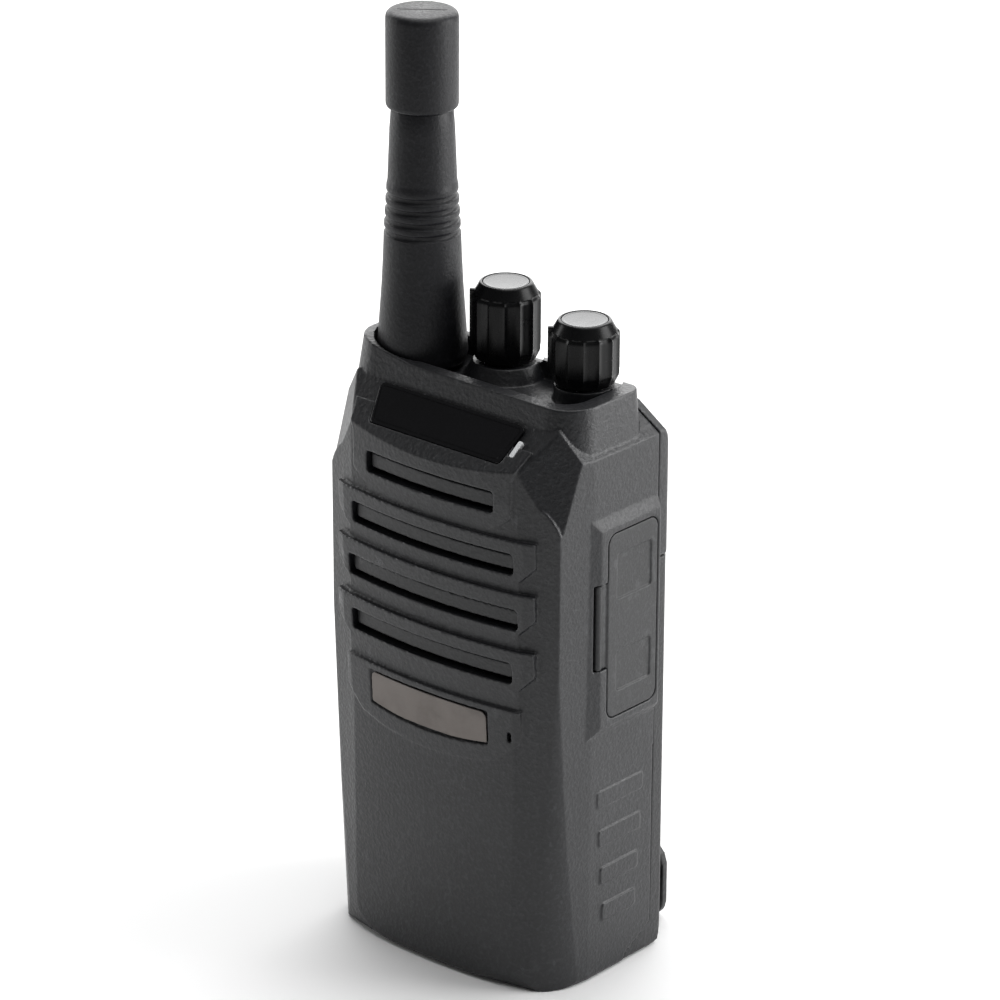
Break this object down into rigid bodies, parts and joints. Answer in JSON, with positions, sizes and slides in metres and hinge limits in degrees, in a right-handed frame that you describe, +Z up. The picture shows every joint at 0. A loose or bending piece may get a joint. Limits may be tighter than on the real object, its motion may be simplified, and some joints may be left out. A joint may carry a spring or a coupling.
{
  "type": "portable two-way radio",
  "caption": "Compact handheld two-way radio with a stub antenna, two top knobs, slotted speaker front, side talk button, jack cover, rear battery and belt clip.",
  "frame": {"origin": "middle of the radio's base in X, on the plane it stands on, 12.2 mm in front of the seam between the case and the battery", "axes": "+Z up along the antenna, -Y out of the speaker side, +X towards the jack cover, -X towards the talk button"},
  "size_m": [0.0599, 0.0466, 0.1819],
  "materials": {
    "case_plastic": "fine moulded grain, charcoal black",
    "battery_plastic": "fine moulded grain, charcoal black",
    "insert_plastic": "satin black",
    "knob_plastic": "satin black",
    "knob_disc": "smooth black, bright in reflection",
    "antenna_rubber": "soft black moulded rubber",
    "soft_rubber": "matte black",
    "plate_gloss": "gloss black",
    "badge_metal": "brushed, warm grey",
    "lamp_lens": "milky white",
    "mesh_cloth": "black dust cloth",
    "die_casting": "as cast",
    "board_laminate": "solder resist green",
    "can_steel": "tin plated",
    "screw_steel": "zinc plated",
    "brass_part": "machined",
    "gold_contact": "gold plated",
    "copper_wire": "drawn wire",
    "cell_wrap": "shrink wrap",
    "speaker_paper": "treated paper",
    "switch_plastic": "moulded"
  },
  "bodies": {
    "radio": {"antenna_connector": "brass_part", "button_board": "board_laminate", "button_switches": "switch_plastic", "case_screws": "screw_steel", "channel_switch": "switch_plastic", "chassis": "die_casting", "control_nuts": "screw_steel", "front_housing": "case_plastic", "grille_insert": "insert_plastic", "latch_spring": "screw_steel", "led_lens": "lamp_lens", "lower_badge": "badge_metal", "main_board": "board_laminate", "main_seal": "soft_rubber", "microphone": "can_steel", "microphone_boot": "soft_rubber", "microphone_jack": "switch_plastic", "name_plate": "plate_gloss", "radio_contacts": "gold_contact", "rear_housing": "case_plastic", "shield_can": "can_steel", "speaker_basket": "screw_steel", "speaker_cone": "speaker_paper", "speaker_jack": "switch_plastic", "speaker_mesh": "mesh_cloth", "volume_control": "switch_plastic"},
    "channel": {"channel_knob": "knob_plastic", "channel_knob_disc": "knob_disc", "channel_shaft": "screw_steel"},
    "volume": {"volume_knob": "knob_plastic", "volume_knob_disc": "knob_disc", "volume_shaft": "screw_steel"},
    "talk": {"talk_button": "soft_rubber"},
    "side_upper": {"side_button_upper": "soft_rubber"},
    "side_lower": {"side_button_lower": "soft_rubber"},
    "cover": {"jack_cover": "soft_rubber"},
    "antenna": {"antenna_sheath": "antenna_rubber", "antenna_cap": "antenna_rubber", "antenna_ferrule": "brass_part", "antenna_radiator": "copper_wire"},
    "antenna_carrier": {"antenna_seal": "soft_rubber"},
    "battery": {"battery_cover": "battery_plastic", "battery_tub": "battery_plastic", "battery_cells": "cell_wrap", "battery_contacts": "gold_contact", "clip_bracket": "case_plastic", "clip_screws": "screw_steel", "clip_pin": "screw_steel", "clip_spring": "screw_steel"},
    "clip": {"clip_tongue": "battery_plastic"},
    "latch": {"battery_latch": "battery_plastic"}
  },
  "joints": [
    {"name": "channel_turn", "type": "hinge", "parent": "radio", "child": "channel", "pos_m": [-0.0019, 0.0045, 0.12], "axis": [0, 0, -1], "range_deg": [0, 337.5]},
    {"name": "volume_turn", "type": "hinge", "parent": "radio", "child": "volume", "pos_m": [0.0172, 0.0045, 0.12], "axis": [0, 0, -1], "range_deg": [0, 270]},
    {"name": "talk_press", "type": "slide", "parent": "radio", "child": "talk", "axis": [1, 0, 0], "range_m": [0, 0.0012], "stiffness_N_per_m": 2500, "springref_m": -0.0006},
    {"name": "side_upper_press", "type": "slide", "parent": "radio", "child": "side_upper", "axis": [1, 0, 0], "range_m": [0, 0.0008], "stiffness_N_per_m": 2500, "springref_m": -0.0006},
    {"name": "side_lower_press", "type": "slide", "parent": "radio", "child": "side_lower", "axis": [1, 0, 0], "range_m": [0, 0.0008], "stiffness_N_per_m": 2500, "springref_m": -0.0006},
    {"name": "cover_swing", "type": "hinge", "parent": "radio", "child": "cover", "pos_m": [0.02905, -0.005, 0.07325], "axis": [0, 0, -1], "range_deg": [0, 105]},
    {"name": "antenna_lift", "type": "slide", "parent": "radio", "child": "antenna_carrier", "axis": [0, 0, 1], "range_m": [0, 0.004]},
    {"name": "antenna_turn", "type": "hinge", "parent": "antenna_carrier", "child": "antenna", "pos_m": [-0.0175, -0.0013, 0.12], "axis": [0, 0, 1], "range_deg": [0, 1804]},
    {"name": "battery_swing", "type": "hinge", "parent": "radio", "child": "battery", "pos_m": [0, 0.0152, 0.0815], "axis": [1, 0, 0], "range_deg": [0, 20]},
    {"name": "clip_open", "type": "hinge", "parent": "battery", "child": "clip", "pos_m": [0, 0.0212, 0.06], "axis": [1, 0, 0], "range_deg": [0, 18], "stiffness_Nm_per_rad": 0.6, "springref_deg": -5.73, "deforming": ["clip_spring"]},
    {"name": "latch_slide", "type": "slide", "parent": "radio", "child": "latch", "axis": [0, -1, 0], "range_m": [0, 0.002], "stiffness_N_per_m": 600, "springref_m": -0.001, "deforming": ["latch_spring"]}
  ],
  "couplings": [
    {"joint": "antenna_turn", "follows": "antenna_lift", "rad_per_m": 7854}
  ]
}
